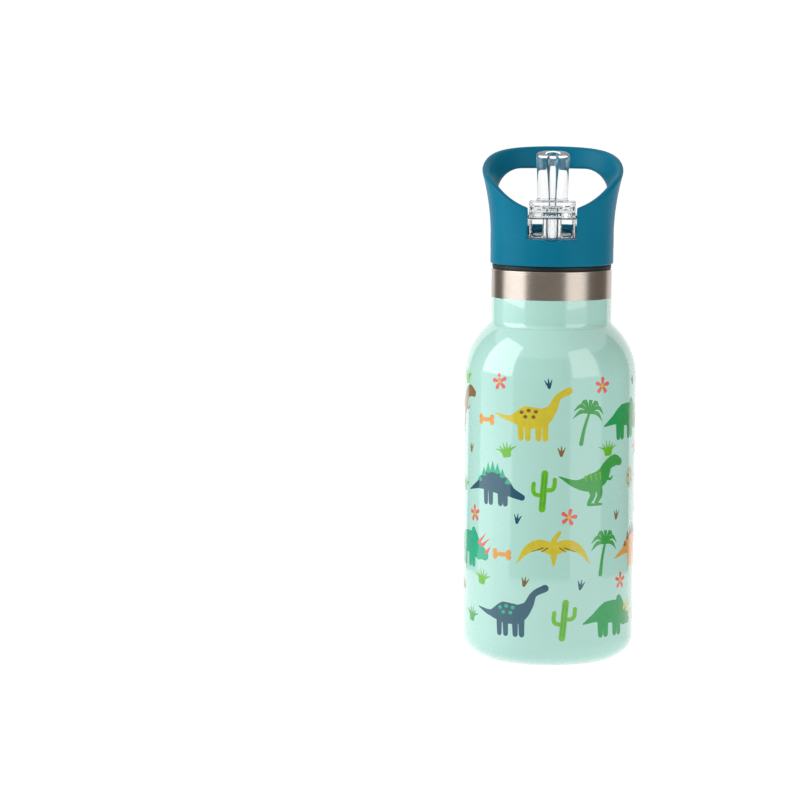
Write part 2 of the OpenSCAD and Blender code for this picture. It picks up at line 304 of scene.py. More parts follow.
for node, material in {
    "outer_shell": STEEL,
    "powder_coat": PAINT,
    "inner_liner": STEEL,
    "inner_bottom": STEEL,
    "copper_foil": COPPER,
    "outer_bottom": BASE_STEEL,
    "vacuum_seal": DARK_GLASS,
    "getter": GETTER,
    "getter_clip": BASE_STEEL,
    "base_cover": BASE_STEEL,
    "lid_gasket": GASKET,
    "lid_shell": TEAL,
    "lid_plug": PLUG_TEAL,
    "spout_seal": MILKY,
    "vent_valve": MILKY,
    "straw": STRAW_CLEAR,
    "spout": CLEAR,
}.items():
    dress(node, material)

# ---------------------------------------------------------------- mesh helpers


def piece(name, points, faces, material, body, stands_for=()):
    """A smooth mesh piece from points in mm."""
    data = bpy.data.meshes.new(name)
    data.from_pydata((np.asarray(points, float) * MM).tolist(), [], faces)
    data.update()
    obj = bpy.data.objects.new(name, data)
    bpy.context.scene.collection.objects.link(obj)
    for one in material if isinstance(material, (list, tuple)) else [material]:
        data.materials.append(one)
    data.polygons.foreach_set("use_smooth", [True] * len(data.polygons))
    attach(obj, body)
    if stands_for:
        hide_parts(*stands_for)
    return obj


def arc(cx, cz, r, a0, a1, n):
    return [
        (cx + r * math.cos(math.radians(a0 + (a1 - a0) * i / n)),
         cz + r * math.sin(math.radians(a0 + (a1 - a0) * i / n)))
        for i in range(n + 1)
    ]


def rounded(outline, radius, n=5):
    """Rounds every corner of a closed outline. radius is one number, or one for each corner."""
    count = len(outline)
    out = []
    for i, p in enumerate(outline):
        r = radius[i] if isinstance(radius, (list, tuple)) else radius
        a = Vector(outline[i - 1]) - Vector(p)
        b = Vector(outline[(i + 1) % count]) - Vector(p)
        la, lb = a.length, b.length
        if r <= 0 or la == 0 or lb == 0:
            out.append(tuple(p))
            continue
        a /= la
        b /= lb
        half = math.acos(max(-1.0, min(1.0, a.dot(b)))) / 2
        if half > math.pi / 2 - 0.02:
            out.append(tuple(p))
            continue
        cut = min(r / math.tan(half), 0.45 * la, 0.45 * lb)
        start = Vector(p) + a * cut
        end = Vector(p) + b * cut
        for k in range(n + 1):
            t = k / n
            q = start * (1 - t) ** 2 + Vector(p) * 2 * t * (1 - t) + end * t * t
            out.append((q.x, q.y))
    return out


def lathe(outline, segments=256):
    """Closed solid of revolution about Z from a closed outline of (r, z), all with r > 0."""
    count = len(outline)
    points = []
    for i in range(segments):
        a = 2 * math.pi * i / segments
        c, s = math.cos(a), math.sin(a)
        points += [(r * c, r * s, z) for r, z in outline]
    faces = []
    for i in range(segments):
        j = (i + 1) % segments
        for k in range(count):
            l = (k + 1) % count
            faces.append((i * count + k, j * count + k, j * count + l, i * count + l))
    return points, faces


def lathe_piece(name, outline, material, body, stands_for=(), segments=256):
    area = sum(
        outline[i - 1][0] * outline[i][1] - outline[i][0] * outline[i - 1][1]
        for i in range(len(outline))
    )
    if area < 0:
        outline = outline[::-1]
    points, faces = lathe(outline, segments)
    return piece(name, points, faces, material, body, stands_for)


# ---------------------------------------------------------------- bottle


def vessel_outline(inset, start=-90.0, fine=24):
    """Outside of the bottle as (r, z), moved inward, from its base to the foot of its neck."""
    corner = CORNER_R - inset
    cx = BODY_R - SHOULDER_R
    r = SHOULDER_R - inset
    fillet = NECK_FILLET + inset
    x = NECK_R - inset + fillet - cx
    lift = math.sqrt((r + fillet) ** 2 - x * x)
    meet = math.degrees(math.atan2(lift, x))
    return (
        arc(BODY_R - CORNER_R, CORNER_R, corner, start, 0, fine)
        + arc(cx, SHOULDER_Z, r, 0, meet, 2 * fine)
        + arc(NECK_R - inset + fillet, SHOULDER_Z + lift, fillet, 180 + meet, 180, 10)
    )


PAINT_INSET = 0.06  # leaves room for the ink inside the bottle's true diameter
PAINT_START = -72.0  # the paint stops this far round the bottom corner
WALL_T = 0.45


def build_paint():
    outside = vessel_outline(PAINT_INSET, PAINT_START)
    inside = vessel_outline(COAT_T, PAINT_START)
    lip = [
        (NECK_R - PAINT_INSET, PAINT_Z - 0.12),
        (NECK_R - PAINT_INSET - 0.015, PAINT_Z - 0.04),
        (NECK_R - PAINT_INSET - 0.05, PAINT_Z),
        (NECK_R - COAT_T, PAINT_Z),
    ]
    return lathe_piece(
        "painted_body", outside + lip + inside[::-1], PAINT, "bottle",
        ["powder_coat"], 320)


def build_shell():
    top = shell_high[2]
    outside = vessel_outline(COAT_T)
    inside = vessel_outline(COAT_T + WALL_T)
    outer, inner = NECK_R - COAT_T, NECK_R - COAT_T - WALL_T
    lip = [
        (outer, top - 0.3), (outer, top - 0.1), (outer - 0.03, top - 0.03), (outer - 0.1, top),
        (inner + 0.1, top), (inner, top - 0.1), (inner, top - 0.3),
    ]
    return lathe_piece(
        "outer_wall", outside + lip + inside[::-1],
        STEEL, "bottle", ["outer_shell"], 256)


def build_base_cover():
    edge = cover_high[0]
    t = 0.5
    inner = edge - 6.4
    outline = [
        (0.02, 1.8), (inner, 1.8), (inner + 1.5, 0.0), (edge - 0.9, 0.0), (edge, COAT_T),
        (edge, COAT_T + t), (edge - 0.9, t), (inner + 1.8, t), (inner + 0.3, 1.8 + t),
        (0.02, 1.8 + t),
    ]
    soft = rounded(outline, [0, 0.8, 0.8, 0.5, 0.1, 0.1, 0.3, 0.6, 0.6, 0], 5)
    return lathe_piece(
        "base_disc", soft, BASE_STEEL, "bottle", ["base_cover"], 192)


# ---------------------------------------------------------------- smooth solids from a field


def smax(a, b, k):
    h = np.maximum(k - np.abs(a - b), 0.0) / k
    return np.maximum(a, b) + h * h * k * 0.25


def smin(a, b, k):
    return -smax(-a, -b, k)


def surface_net(field, low, high, step, rounds=4):
    """Quads over the zero level of a distance field that is negative inside. Lengths in mm."""
    count = [int(math.ceil((b - a) / step)) + 1 for a, b in zip(low, high)]
    grid = [low[i] + step * np.arange(count[i]) for i in range(3)]
    x, y, z = np.meshgrid(*grid, indexing="ij")
    v = field(x, y, z)
    inside = v < 0
    cells = tuple(c - 1 for c in count)
    total = np.zeros(cells + (3,))
    hits = np.zeros(cells)
    corner = [(i, j, k) for i in (0, 1) for j in (0, 1) for k in (0, 1)]

    def at(array, o):
        return array[o[0] : o[0] + cells[0], o[1] : o[1] + cells[1], o[2] : o[2] + cells[2]]

    for a in corner:
        for axis in range(3):
            if a[axis]:
                continue
            b = tuple(1 if i == axis else a[i] for i in range(3))
            va, vb = at(v, a), at(v, b)
            cross = at(inside, a) != at(inside, b)
            t = np.where(cross, va / np.where(cross, va - vb, 1.0), 0.0)
            for i in range(3):
                share = a[i] + (t if i == axis else 0.0)
                total[..., i] += np.where(cross, share, 0.0)
            hits += cross
    used = hits > 0
    number = np.full(cells, -1, np.int64)
    number[used] = np.arange(used.sum())
    base = np.stack(np.nonzero(used), 1)
    p = (base + total[used] / hits[used][:, None]) * step + np.array(low)
    faces = []
    for axis in range(3):
        u, w = (axis + 1) % 3, (axis + 2) % 3
        first = [slice(None)] * 3
        second = [slice(None)] * 3
        first[axis] = slice(0, -1)
        second[axis] = slice(1, None)
        a_in, b_in = inside[tuple(first)], inside[tuple(second)]
        where = np.stack(np.nonzero(a_in != b_in), 1)
        ok = (where[:, u] > 0) & (where[:, w] > 0)
        ok &= (where[:, u] < count[u] - 1) & (where[:, w] < count[w] - 1)
        where = where[ok]
        flip = ~a_in[tuple(where.T)]

        def cell(du, dw):
            c = where.copy()
            c[:, u] -= du
            c[:, w] -= dw
            return number[tuple(c.T)]

        quad = np.stack([cell(1, 1), cell(0, 1), cell(0, 0), cell(1, 0)], 1)
        quad[flip] = quad[flip][:, ::-1]
        faces.append(quad)
    faces = np.concatenate(faces)

    edges = np.concatenate([faces[:, [i, (i + 1) % 4]] for i in range(4)])
    e = step * 0.05

    def settle(q, times):
        for _ in range(times):
            f0 = field(*q.T)
            g = np.stack([
                field(*(q + d).T) - field(*(q - d).T)
                for d in np.eye(3) * e
            ], 1) / (2 * e)
            size = np.maximum((g * g).sum(1), 0.2)
            move = (f0 / size)[:, None] * g
            length = np.linalg.norm(move, axis=1, keepdims=True)
            q = q - move * np.minimum(1.0, 0.5 * step / np.maximum(length, 1e-9))
        return q

    p = settle(p, 3)
    for _ in range(rounds):
        middle = np.zeros_like(p)
        share = np.zeros(len(p))
        np.add.at(middle, edges[:, 0], p[edges[:, 1]])
        np.add.at(share, edges[:, 0], 1)
        np.add.at(middle, edges[:, 1], p[edges[:, 0]])
        np.add.at(share, edges[:, 1], 1)
        p = p + 0.5 * (middle / share[:, None] - p)
        p = settle(p, 2)
    return p, faces


def field_piece(name, field, low, high, step, material, body, stands_for):
    points, faces = surface_net(field, low, high, step)
    return piece(name, points, faces.tolist(), material, body, stands_for)


# ---------------------------------------------------------------- lid


def flare(z):
    """Outer radius of the lid's wall at a height, and the cosine of its slope."""
    up = np.clip(z - FLARE_Z, 0.0, 60.0)
    root = np.sqrt(FLARE_R**2 - up * up)
    return LID_R + FLARE_R - root, root / FLARE_R


RIM_BACK_Y = 21.0
RIM_FRONT_Y = -10.3
BACK_SLOPE = math.tan(math.radians(7.0))
SIDE_SLOPE = math.tan(math.radians(20.0))
FRONT_SLOPE = math.tan(math.radians(38.0))
RIM_BACK_Z = LID_TOP - (lid_high[1] - RIM_BACK_Y) * BACK_SLOPE
RIM_FRONT_Z = RIM_BACK_Z - (RIM_BACK_Y - RIM_FRONT_Y) * SIDE_SLOPE


def rim_field(x, y, z, radius):
    """Signed height above the rim. The rim is level across the thickness of the wall."""
    r = np.maximum(np.hypot(x, y), 1.0)
    across = y * radius / r
    back = RIM_BACK_Z + (across - RIM_BACK_Y) * BACK_SLOPE
    side = RIM_BACK_Z + (across - RIM_BACK_Y) * SIDE_SLOPE
    front = RIM_FRONT_Z + (across - RIM_FRONT_Y) * FRONT_SLOPE
    rim = smin(smin(front, side, 2.0), back, 2.0)
    middle = np.where(across < RIM_BACK_Y, SIDE_SLOPE, BACK_SLOPE)
    slope = np.where(across < RIM_FRONT_Y, FRONT_SLOPE, middle)
    return (z - rim) / np.sqrt(1 + slope * slope)


def rounded_box2(u, v, u0, u1, v0, v1, r):
    """Distance field of a rectangle with round corners."""
    du = np.abs(u - (u0 + u1) / 2) - (u1 - u0) / 2 + r
    dv = np.abs(v - (v0 + v1) / 2) - (v1 - v0) / 2 + r
    outside = np.hypot(np.maximum(du, 0), np.maximum(dv, 0))
    return outside + np.minimum(np.maximum(du, dv), 0) - r


WINDOW_HALF = 22.5
WINDOW_FOOT = 3.5
WINDOW_CORNER = 9.5
PIVOT_R = 2.0
PIVOT_GAP = 0.06
BARREL_GAP = 0.3
FOOT_HALF = 4.2
STOP_T = 1.5
STOP_PLACE = 1.55
STOP_ARCH_R = 14.0
STOP_ARCH_DROP = 10.0
TROUGH_R = 7.0
TROUGH_RISE = 5.8
WELL_T = 1.5
VENT_R = 1.0
VENT_Y = 13.0


def lid_field(x, y, z):
    """The teal moulding: wall, deck, well, cheeks and stop, less its window, slot and bores."""
    r = np.hypot(x, y)
    radius, slope = flare(z)
    wall = smax((r - radius) * slope, (radius - LID_T - r) * slope, 0.3)
    wall = smax(wall, LID_Z - z, 1.0)
    deck = np.maximum(np.maximum(z - DECK_TOP, DECK_TOP - DECK_T - z), r - LID_R + 1.0)
    solid = smin(wall, deck, 1.6)
    well = np.maximum(np.maximum(r - WELL_R - WELL_T, PLATE_TOP - z), z - DECK_TOP + 1.0)
    solid = smin(solid, well, 1.0)
    # cheeks that hold the spout's pivots
    ax = np.abs(x)
    side = np.abs(ax - (SLOT_W + CHEEK_T) / 2) - CHEEK_T / 2
    boss = np.hypot(y, z - PIVOT_Z) - (CHEEK_TOP - PIVOT_Z)
    web = np.maximum(np.maximum(y, z - CHEEK_TOP), DECK_TOP - 1 - z)
    foot = np.maximum(np.maximum(np.abs(y) - FOOT_HALF, z - PIVOT_Z), DECK_TOP - 1 - z)
    cheek = smin(np.minimum(boss, web), foot, 1.0)
    cheek = smax(smax(cheek, side, 0.8), r - LID_R + 1.0, 0.5)
    solid = smin(solid, cheek, 0.9)
    # low arched wall behind the spout
    stop = np.maximum(np.abs(y - BARREL_R - STOP_PLACE) - STOP_T / 2, DECK_TOP - 1 - z)
    stop = smax(stop, np.hypot(x, z - DECK_TOP + STOP_ARCH_DROP) - STOP_ARCH_R, 0.6)
    solid = smin(solid, smax(stop, ax - SLOT_W / 2 - 1, 0.3), 0.7)
    # rim, window and slot
    solid = smax(solid, rim_field(x, y, z, radius), 1.5)
    half, head = WINDOW_HALF, LID_TOP - BAR_H
    window = rounded_box2(x, z, -half, half, DECK_TOP + WINDOW_FOOT, head, 2.0)
    top = rounded_box2(x, z, -half, half, DECK_TOP - 20, head, WINDOW_CORNER)
    window = np.maximum(np.maximum(window, top), 2.0 - y)
    solid = smax(solid, -window, 1.5)
    slot = np.maximum(np.maximum(ax - SLOT_W / 2, DECK_TOP - z), y)
    solid = smax(solid, -slot, 0.5)
    front = y + LID_R - LID_T - 1
    trough = np.maximum(np.hypot(x, z - DECK_TOP - TROUGH_RISE) - TROUGH_R, front)
    solid = smax(solid, -trough, 0.6)
    barrel = np.maximum(np.hypot(y, z - PIVOT_Z) - BARREL_R - BARREL_GAP, ax - SLOT_W / 2)
    solid = smax(solid, -barrel, 0.4)
    pivot = np.hypot(y, z - PIVOT_Z) - (PIVOT_R + PIVOT_GAP)
    pivot = np.maximum(pivot, ax - SLOT_W / 2 - CHEEK_T - 1)
    solid = smax(solid, -pivot, 0.3)
    bore = np.maximum(r - WELL_R, PLATE_TOP - 1 - z)
    solid = smax(solid, -np.maximum(bore, z - DECK_TOP - 1), 0.5)
    vent = np.hypot(x, y - VENT_Y) - VENT_R
    return smax(solid, -np.maximum(vent, DECK_TOP - DECK_T - 1 - z), 0.4)


# ---------------------------------------------------------------- spout


TIP_Z = LID_Z + 44.7
TIP_SLOPE = math.radians(13.7)
MOUTH_W = 13.6
MOUTH_T = 9.6
MOUTH_TAPER = 0.6
GROOVE_DEPTH = 0.75
GROOVE_PITCH = 2.1
GROOVE_START = 1.3
PASSAGE_R = 1.75
PASSAGE_FLARE = 0.95
SOCKET_R = 3.0
POCKET_IN = 3.5
POCKET_WALL = 1.0
POCKET_FRONT = 1.7
POCKET_DROP = 5.8
POCKET_RISE = 2.4
POCKET_CORNER = 1.4


def spout_field(x, y, z):
    """The clear spout: a flattened tube on a grooved block and barrel, with its passage."""
    ax = np.abs(x)
    rise = np.clip((z - BLOCK_TOP) / (TIP_Z - BLOCK_TOP), 0.0, 1.1)
    half = MOUTH_W / 2 - MOUTH_TAPER * (1 - rise)
    thick = MOUTH_T / 2 - MOUTH_TAPER / 2 * (1 - rise)
    flat = np.maximum(ax - (half - thick), 0.0)
    tube = np.hypot(flat, y) - thick
    tip = (z - TIP_Z) * math.cos(TIP_SLOPE) - y * math.sin(TIP_SLOPE)
    tube = smax(smax(tube, tip, 1.2), PIVOT_Z - z, 0.3)
    # grip grooves across the front and back
    down = BLOCK_TOP - GROOVE_START - z
    groove = GROOVE_DEPTH - np.abs(down % GROOVE_PITCH - GROOVE_PITCH / 2) * 1.4
    groove = np.clip(groove, 0.0, GROOVE_DEPTH)
    groove = np.where((down > 0) & (z > PIVOT_Z - 0.2), groove, 0.0)
    drum = np.hypot(y, z - PIVOT_Z)
    end = ax - BARREL_W / 2
    barrel = smax(drum - BARREL_R + groove, end, 0.6)
    # block above the barrel
    power = ((ax / (BARREL_W / 2)) ** 4 + (np.abs(y) / (BLOCK_T / 2)) ** 4 + 1e-9) ** 0.25
    side = (power - 1) * BLOCK_T / 2 + groove
    block = smax(smax(side, z - BLOCK_TOP, 0.8), PIVOT_Z - z, 0.3)
    body = smin(smin(barrel, block, 0.6), tube, 1.0)
    stub = smax(drum - PIVOT_R, ax - (SLOT_W / 2 + CHEEK_T - 0.4), 0.5)
    body = smin(body, stub, 0.3)
    # pockets beside the passage, open at the back
    pocket = rounded_box2(
        ax, z, POCKET_IN, BARREL_W / 2 - POCKET_WALL,
        PIVOT_Z - POCKET_DROP, PIVOT_Z + POCKET_RISE, POCKET_CORNER)
    pocket = smax(pocket, np.where(y < 0, drum - (BARREL_R - POCKET_FRONT), -BARREL_R), 0.3)
    body = smax(body, -pocket, 0.5)
    narrow = np.hypot(x, y) - (PASSAGE_R + PASSAGE_FLARE * rise)
    wide = smax(np.hypot(x, y) - SOCKET_R, z - BLOCK_TOP + 2.5, 1.5)
    return smax(body, -smin(narrow, wide, 0.8), 0.7)


build_paint()
build_shell()
build_base_cover()
field_piece(
    "lid_moulding", lid_field, lid_low - 1, lid_high + 1, 0.5,
    TEAL, "lid", ["lid_shell"])
field_piece(
    "clear_spout", spout_field, spout_low - 0.8, spout_high + 0.8, 0.3,
    CLEAR, "spout", ["spout"])


def build_gasket():
    outline = [
        (GASKET_BORE_R, gasket_low[2]), (gasket_high[0] - 0.3, gasket_low[2]),
        (gasket_high[0], gasket_low[2] + 0.5), (gasket_high[0], LID_Z - 0.4),
        (gasket_high[0] - 0.2, LID_Z - 0.1), (LID_R - LID_T - 0.1, LID_Z - 0.1),
        (LID_R - LID_T - 0.1, gasket_high[2]), (GASKET_BORE_R, gasket_high[2]),
    ]
    return lathe_piece(
        "gasket_ring", rounded(outline, 0.12, 3), GASKET, "gasket",
        ["lid_gasket"], 192)


STRAW_T = 0.8
STRAW_CUT = math.radians(20.0)


def build_straw():
    """The straw, whose foot is cut at a slant."""
    r, foot, top = straw_high[0], straw_low[2], straw_high[2]
    points, faces = lathe([
        (r - STRAW_T, foot + 2.9), (r, foot + 2.9), (r, top - 0.1),
        (r - 0.1, top), (r - STRAW_T + 0.1, top), (r - STRAW_T, top - 0.1),
    ], 96)
    slope = math.tan(STRAW_CUT)
    cut = [
        (x, y, foot + (y + r) * slope) if z < foot + 3 else (x, y, z)
        for x, y, z in points
    ]
    return piece("drinking_straw", cut, faces, STRAW_CLEAR, "lid", ["straw"])


build_gasket()
build_straw()

# ---------------------------------------------------------------- printed pattern

# Plain one-colour silhouettes in staggered rows. Outlines are (u, v) in mm: u runs round the bottle
# from the middle of its front, v runs up its wall.

INKS = {
    "navy": "125a70", "emerald": "04a653", "jade": "06b98c", "umber": "8b6b35", "amber": "eda23c",
    "gold": "dccb33", "coral": "f06a64", "leaf": "35a845", "lime": "6cc41c", "stone": "c3c2a6",
}
ink_materials = {name: ink_material(name, code) for name, code in INKS.items()}


def smooth_line(points, n=6):
    """Curve through the points, as vectors."""
    knots = [Vector(p) for p in points]
    knots = [2 * knots[0] - knots[1]] + knots + [2 * knots[-1] - knots[-2]]
    line = []
    for p0, p1, p2, p3 in zip(knots, knots[1:], knots[2:], knots[3:]):
        for t in (s / n for s in range(n)):
            bend = (2 * p0 - 5 * p1 + 4 * p2 - p3) * t * t + (3 * p1 - p0 - 3 * p2 + p3) * t ** 3
            line.append(p1 + 0.5 * ((p2 - p0) * t + bend))
    return line + [knots[-2]]


def stroke(points, widths, n=6):
    """Outline of a brush stroke along a curve, whose width runs through the given widths."""
    line = smooth_line(points, n)
    last = len(line) - 1
    left, right = [], []
    for i, p in enumerate(line):
        along = (line[min(i + 1, last)] - line[max(i - 1, 0)]).normalized()
        place = i / last * (len(widths) - 1)
        k = min(int(place), len(widths) - 2)
        half = (widths[k] + (widths[k + 1] - widths[k]) * (place - k)) / 2
        side = Vector((-along.y, along.x)) * half
        left.append(p + side)
        right.append(p - side)
    caps = []
    for end, inner, width in ((line[0], line[1], widths[0]), (line[-1], line[-2], widths[-1])):
        out = (end - inner).normalized()
        across = Vector((-out.y, out.x))
        caps.append([
            end + (out * math.cos(a) + across * math.sin(a)) * width / 2
            for a in (math.radians(d) for d in range(-60, 61, 30))])
    return [tuple(p) for p in caps[0] + right + caps[1] + left[::-1]]


def oval(u, v, a, b, n=24):
    turns = (2 * math.pi * i / n for i in range(n))
    return [(u + a * math.cos(t), v + b * math.sin(t)) for t in turns]


def legs(places, top, foot, width):
    return [stroke([(x, top), (x + 0.2, foot)], [width * 1.2, width], 2) for x in places]


def long_neck():
    spine = [(-17, 2.5), (-10, 0.8), (-3.5, 1.6), (3, 1.6), (7.5, 5), (10, 10), (14.6, 12.6)]
    body = stroke(spine, [0.5, 2.6, 9.0, 8.4, 4.2, 2.6, 3.0])
    places = ((-5, 3.6), (-2, 4.4), (1, 4.0), (-3.4, 1.8), (0, 1.8))
    spots = [oval(u, v, 0.9, 0.75, 14) for u, v in places]
    return [body] + legs((-5.4, -2.4, 2.0, 4.8), 0, -7, 2.3), spots


def plated():
    body = stroke(
        [(-16, -3.5), (-10, -1.2), (-3, 1.2), (4, 0.2), (9, -2.6), (13.5, -4.4)],
        [0.5, 2.8, 8.6, 8.4, 4.0, 2.6])
    plates = []
    for i in range(7):
        t = (i - 3) / 3
        u, foot, tall = -0.6 + 7.6 * t, 5.3 - 4.4 * t * t, 4.4 - 2.0 * t * t
        plates.append([(u - 1.5, foot), (u, foot - 0.3), (u + 1.5, foot), (u, foot + tall)])
    return [body] + legs((-4.4, -1.6, 3.4, 5.8), -1, -7.5, 2.3), plates


def horned():
    body = stroke(
        [(-14, -2.5), (-9, -0.4), (-3, 1.4), (4, 1.2), (9, -1), (13.4, -3)],
        [0.6, 3.6, 9.0, 9.6, 7.6, 4.2])
    shapes = [body] + legs((-5.8, -3.0, 2.4, 5.2), -1, -7.5, 2.6)
    shapes.append(stroke([(9.4, -2.4), (6.6, 3.4), (5.2, 6.4)], [5.6, 5.0, 3.4]))
    horns = (((9.4, 2.0), (13.8, 6.2)), ((11.6, 1.0), (15.8, 4.2)), ((14.4, -1.6), (16.6, 1.0)))
    return shapes, [stroke(ends, [1.7, 0.2], 2) for ends in horns]


def walker():
    body = stroke(
        [(-16, 4.5), (-9, 1.4), (-2.4, 1.6), (3, 4), (6.2, 8.6), (10, 10.2), (13.4, 9.4)],
        [0.5, 3.4, 7.6, 7.0, 4.6, 5.0, 3.2])
    shapes = [body]
    for x in (-2.8, 0.6):
        shapes.append(stroke([(x, 1.2), (x + 1.4, -3.2), (x - 0.4, -6.6)], [4.6, 2.6, 1.7]))
        shapes.append(stroke([(x - 0.6, -7.2), (x + 2.2, -7.4)], [1.4, 1.0], 2))
    shapes.append(stroke([(4.4, 4), (7.4, 2.6), (8.6, 3.6)], [1.6, 1.1, 0.8], 3))
    stripes = [
        stroke([(x, 5.2 + 0.16 * x), (x + 0.5, 2.6 + 0.1 * x)], [0.9, 0.3], 2)
        for x in (-5, -2.6, -0.2, 2)]
    return shapes, stripes


def glider():
    shapes = [stroke([(0, -5), (0, 0), (0, 5), (2.4, 8.6)], [0.8, 3.2, 2.4, 1.4])]
    for side in (-1, 1):
        shapes.append(stroke(
            [(0, 1.6), (side * 6, 3.4), (side * 11, 1.2), (side * 15.5, -4.4)],
            [5.0, 4.6, 3.2, 0.3]))
    ribs = [stroke([(x * 0.5, 2.2), (x, 0.6)], [0.6, 0.3], 2) for x in (-9, -5, 5, 9)]
    return shapes, ribs


def palm():
    shapes = [stroke([(-1.4, -11), (-0.8, -4), (0.6, 3)], [2.0, 1.5, 1.2])]
    for i in range(7):
        a = math.radians(-20 + 220 * i / 6)
        c, s = math.cos(a), math.sin(a)
        shapes.append(stroke(
            [(0.6, 3), (0.6 + 4.4 * c, 4.6 + 4.2 * s), (0.6 + 7.8 * c, 1.6 + 5 * s)],
            [0.7, 2.0, 0.2], 4))
    return shapes, []


def cactus():
    shapes = [stroke([(0, -8), (0, 8)], [3.0, 3.0], 2)]
    for side, low in ((-1, -2.0), (1, 0.6)):
        shapes.append(stroke(
            [(0, low), (side * 3.4, low + 0.3), (side * 4.6, low + 2), (side * 4.6, low + 5)],
            [1.9, 1.9, 1.9, 1.9]))
    return shapes, [stroke([(x, -7), (x, 7)], [0.35, 0.35], 2) for x in (-0.7, 0.7)]


def grass():
    tips = [(1.3 * (i - 2.5), 7 - abs(i - 2.5) * 1.3) for i in range(6)]
    blades = [
        stroke([(x * 0.4, -2.5), (x * 0.7, 0), (x * 1.7, y - 2.5)], [1.4, 1.2, 0.2], 3)
        for x, y in tips]
    return blades, []


def bone():
    ends = [oval(x, y, 1.35, 1.35, 14) for x in (-3.6, 3.6) for y in (-1.1, 1.1)]
    return [stroke([(-3.6, 0), (3.6, 0)], [1.9, 1.9], 2)] + ends, []


def egg():
    shell = [(u, v * (1.16 if v > 0 else 0.9)) for u, v in oval(0, 0, 3.9, 4.8)]
    places = ((-1.6, 1.4, 0.8), (1.2, 3.0, 0.7), (1.6, -0.6, 0.9), (-0.8, -2.2, 0.7), (-0.4, 4.0, 0.5))
    return [shell], [oval(u, v, r, 1.15 * r, 12) for u, v, r in places]


def footprint():
    toes = [stroke([(0, -1.8), (x, 2.2 - abs(x) * 0.4)], [1.4, 0.3], 2) for x in (-1.7, 0, 1.7)]
    return toes, []


def flower():
    turns = [math.radians(90 + 72 * k) for k in range(5)]
    petals = [stroke([(0, 0), (3 * math.cos(a), 3 * math.sin(a))], [0.8, 1.9], 2) for a in turns]
    return petals, [oval(0, 0, 0.9, 0.9, 14)]


ANIMALS = (long_neck, horned, glider, plated, walker)
ANIMAL_INKS = (
    ("navy", "jade"), ("umber", "gold"), ("emerald", "gold"), ("gold", "umber"),
    ("jade", "coral"), ("amber", "umber"), ("leaf", "lime"))
PLANTS = (
    (cactus, "lime", "leaf"), (palm, "leaf", "leaf"), (egg, "stone", "leaf"),
    (grass, "leaf", "leaf"), (bone, "amber", "amber"))
SMALL = (
    (footprint, "umber", "umber"), (flower, "coral", "gold"), (grass, "lime", "lime"),
    (footprint, "navy", "navy"))
ROWS = (20.5, 47, 73.5, 100)
COLUMNS = 5
ROW_STAGGER = 0.4  # shares of a column
FIRST_COLUMN = -0.35
ANIMAL_SIZE = 0.98
PLANT_SIZE = 0.9
SMALL_SIZE = 0.9
SMALL_RISE = 14.5  # of the small motifs above a row's middle
INK_LIFT = 0.01
LAYER_LIFT = 0.003
INK_DEPTH = 0.02  # how far the ink reaches into the paint


def wrap(u, v, lift):
    """Point on the bottle for a place in the pattern, lift mm above the paint."""
    r, z = BODY_R - PAINT_INSET, v
    if v > SHOULDER_Z:
        a = (v - SHOULDER_Z) / SHOULDER_R
        r += (SHOULDER_R + lift) * math.cos(a) - SHOULDER_R
        z = SHOULDER_Z + (SHOULDER_R + lift) * math.sin(a)
    elif v < CORNER_R:
        a = (CORNER_R - v) / CORNER_R
        r += (CORNER_R + lift) * math.cos(a) - CORNER_R
        z = CORNER_R - (CORNER_R + lift) * math.sin(a)
    else:
        r += lift
    t = u / BODY_R - math.pi / 2
    return r * math.cos(t), r * math.sin(t), z


def cut_flat(outline):
    """Fills an outline and cuts it into strips that can bend. Returns points and faces."""
    bm = bmesh.new()
    bm.faces.new([bm.verts.new((u, v, 0)) for u, v in outline])
    bm.normal_update()
    bmesh.ops.triangulate(bm, faces=bm.faces[:], ngon_method="EAR_CLIP")
    for axis, pitch in ((0, 1.0), (1, 2.0)):
        sides = [p[axis] for p in outline]
        normal = (1, 0, 0) if axis == 0 else (0, 1, 0)
        for k in range(math.ceil(min(sides) / pitch), math.floor(max(sides) / pitch) + 1):
            bmesh.ops.bisect_plane(
                bm, geom=bm.verts[:] + bm.edges[:] + bm.faces[:],
                plane_co=[k * pitch * n for n in normal], plane_no=normal, dist=1e-5)
    bm.normal_update()
    bm.verts.index_update()
    points = [(q.co.x, q.co.y) for q in bm.verts]
    faces = [
        [q.index for q in (f.verts if f.normal.z > 0 else reversed(f.verts))] for f in bm.faces]
    bm.free()
    return points, faces


